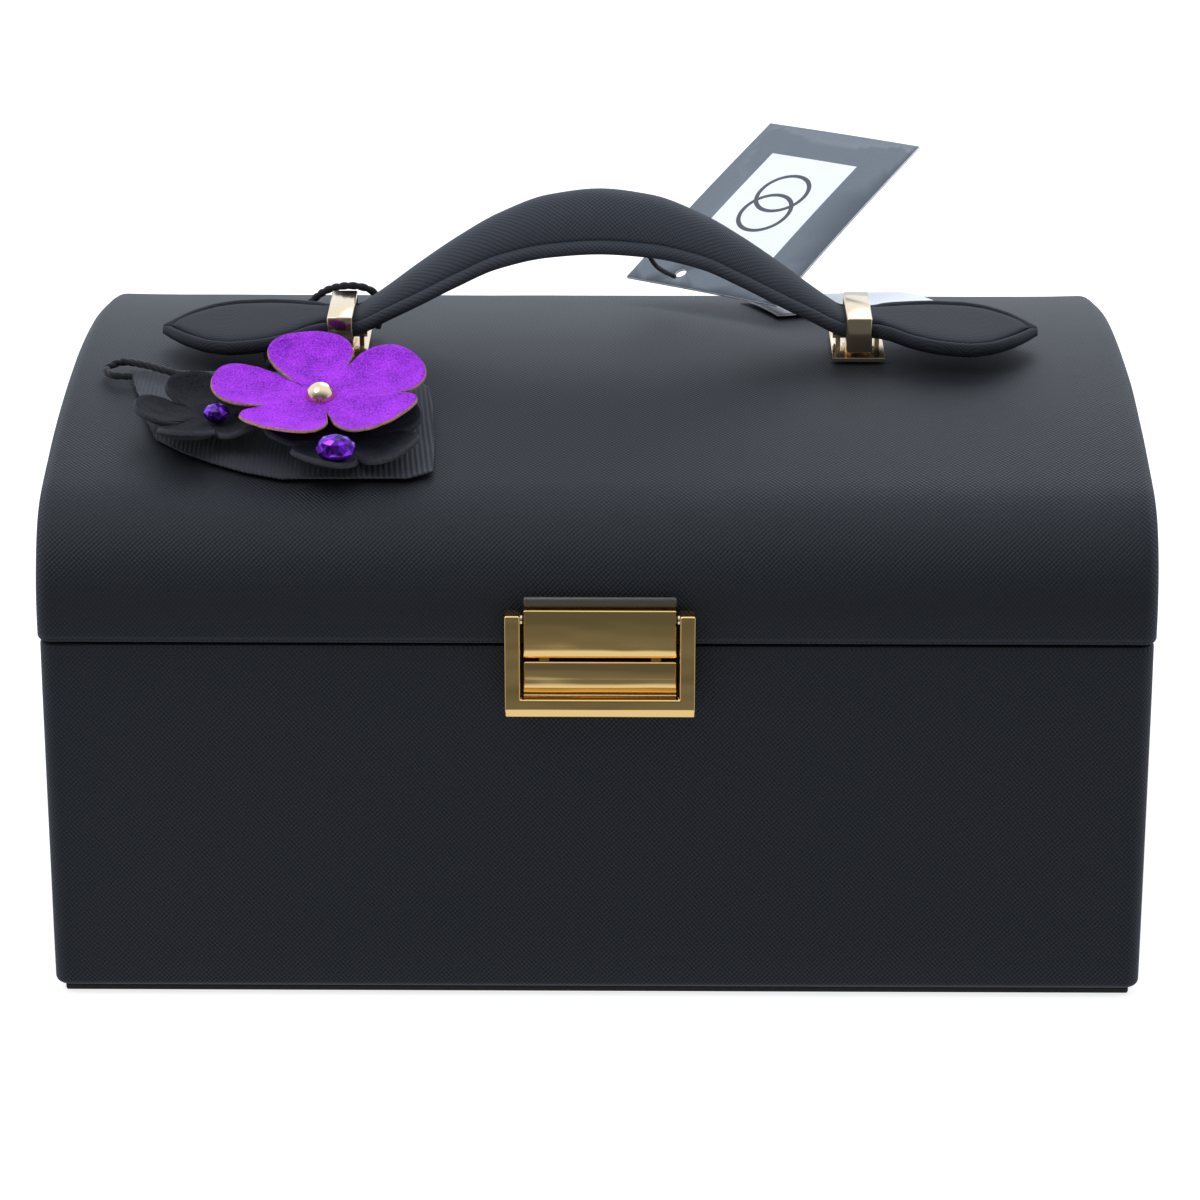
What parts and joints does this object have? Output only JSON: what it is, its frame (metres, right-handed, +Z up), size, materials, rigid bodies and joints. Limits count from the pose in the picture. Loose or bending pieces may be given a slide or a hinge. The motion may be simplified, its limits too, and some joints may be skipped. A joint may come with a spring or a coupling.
{
  "type": "jewelry case",
  "caption": "Vaulted leatherette jewelry case with hinged lid, bail clasp, carrying handle, lift-out tray, mirror and a suede flower charm.",
  "frame": {"origin": "centre of the base board's underside", "axes": "+X to the right along the front, +Y to the rear, +Z up"},
  "size_m": [0.271, 0.2159, 0.1797],
  "materials": {
    "leatherette": "fine cross-hatched grain, satin",
    "board": "raw fibreboard",
    "velvet": "short pile",
    "ribbon": "ribbed ribbon, matt",
    "gold": "polished plating",
    "dark_metal": "satin",
    "steel": "brushed",
    "mirror": "silvered",
    "dark_suede": "suede, matt",
    "purple_suede": "suede, matt",
    "stone": "faceted, clear",
    "cord": "twisted, matt",
    "card": "coated card"
  },
  "bodies": {
    "case": {"base_board": "board", "case_cover": "leatherette", "case_front_board": "board", "case_back_board": "board", "case_left_board": "board", "case_right_board": "board", "case_floor_board": "board", "case_lining": "velvet", "tray_ledge_left": "velvet", "tray_ledge_right": "velvet", "divider_long": "velvet", "divider_cross_left": "velvet", "divider_cross_right": "velvet", "catch_plate": "gold", "hinge_case_leaf_left": "gold", "hinge_case_leaf_right": "gold", "hinge_pin_left": "gold", "hinge_pin_right": "gold"},
    "lid": {"lid_cover": "leatherette", "lid_vault_board": "board", "lid_end_board_left": "board", "lid_end_board_right": "board", "lid_lining": "velvet", "mirror_frame": "gold", "mirror_glass": "mirror", "hinge_lid_leaf_left": "gold", "hinge_lid_leaf_right": "gold", "clasp_plate": "gold", "clasp_strip": "dark_metal", "clasp_backing": "steel", "clasp_pin_left": "gold", "clasp_pin_right": "gold", "ring_base_left": "gold", "ring_base_right": "gold", "ring_pin_left": "gold", "ring_pin_right": "gold", "leaflet": "card", "tag_string": "cord", "charm_cord": "cord"},
    "bail": {"clasp_bail": "gold"},
    "tray": {"tray_shell": "velvet", "tray_divider_long": "velvet", "tray_divider_cross": "velvet", "ring_pad": "velvet", "tray_tab_left": "ribbon", "tray_tab_right": "ribbon"},
    "handle": {"handle_strap": "leatherette", "handle_ring_left": "gold", "handle_ring_right": "gold"},
    "charm": {"charm_patch": "ribbon", "charm_dark_flower_left": "dark_suede", "charm_dark_flower_right": "dark_suede", "charm_flower": "purple_suede", "charm_bead": "gold", "charm_stone_left": "stone", "charm_stone_right": "stone", "charm_tip_cord": "cord"},
    "tag": {"hang_tag": "card"}
  },
  "joints": [
    {"name": "lid_hinge", "type": "hinge", "parent": "case", "child": "lid", "pos_m": [0, 0.103, 0.094], "axis": [-1, 0, 0], "range_deg": [0, 95]},
    {"name": "bail_swing", "type": "hinge", "parent": "lid", "child": "bail", "pos_m": [0, -0.1034, 0.1018], "axis": [-1, 0, 0], "range_deg": [0, 95]},
    {"name": "tray_lift", "type": "slide", "parent": "case", "child": "tray", "axis": [0, 0, 1], "range_m": [0, 0.017]},
    {"name": "handle_rock", "type": "hinge", "parent": "lid", "child": "handle", "pos_m": [0, 0, 0.141], "axis": [1, 0, 0], "range_deg": [-2.5, 2.5], "deforming": ["charm_cord", "tag_string"]},
    {"name": "charm_lift", "type": "hinge", "parent": "lid", "child": "charm", "pos_m": [-0.08, -0.0205, 0.1385], "axis": [-1, 0, 0], "range_deg": [0, 35], "deforming": ["charm_cord"]},
    {"name": "tag_lift", "type": "hinge", "parent": "lid", "child": "tag", "pos_m": [0.0068, 0.0619, 0.1378], "axis": [0.7435, -0.6665, 0.0542], "range_deg": [0, 30], "deforming": ["tag_string"]}
  ]
}
